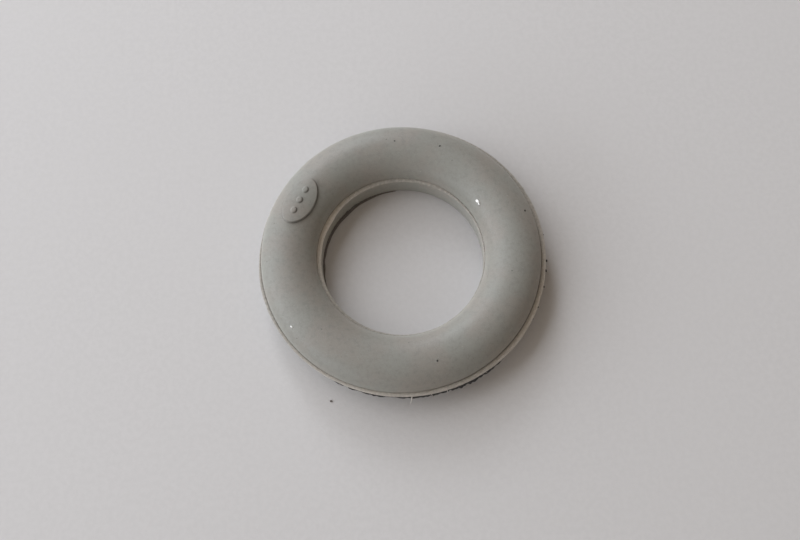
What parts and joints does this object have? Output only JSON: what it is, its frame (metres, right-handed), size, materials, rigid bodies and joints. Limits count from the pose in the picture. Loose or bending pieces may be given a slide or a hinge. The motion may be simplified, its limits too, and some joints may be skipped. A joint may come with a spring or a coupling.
{
  "type": "rubber grommet",
  "caption": "Soft moulded rubber ring with a half-round crown, a straight bore and a flat foot, for lining a hole or seating a tube or rod.",
  "frame": {"origin": "centre of the bore in the plane of the flat foot", "axes": "+Z along the bore, from the flat foot towards the half-round crown; the raised pad lies 150.5 degrees round from +X"},
  "size_m": [0.0316, 0.0316, 0.0058],
  "materials": {
    "rubber": "satin mid grey, lightly dusty"
  },
  "bodies": {
    "root": {"grommet": "rubber"}
  },
  "joints": []
}
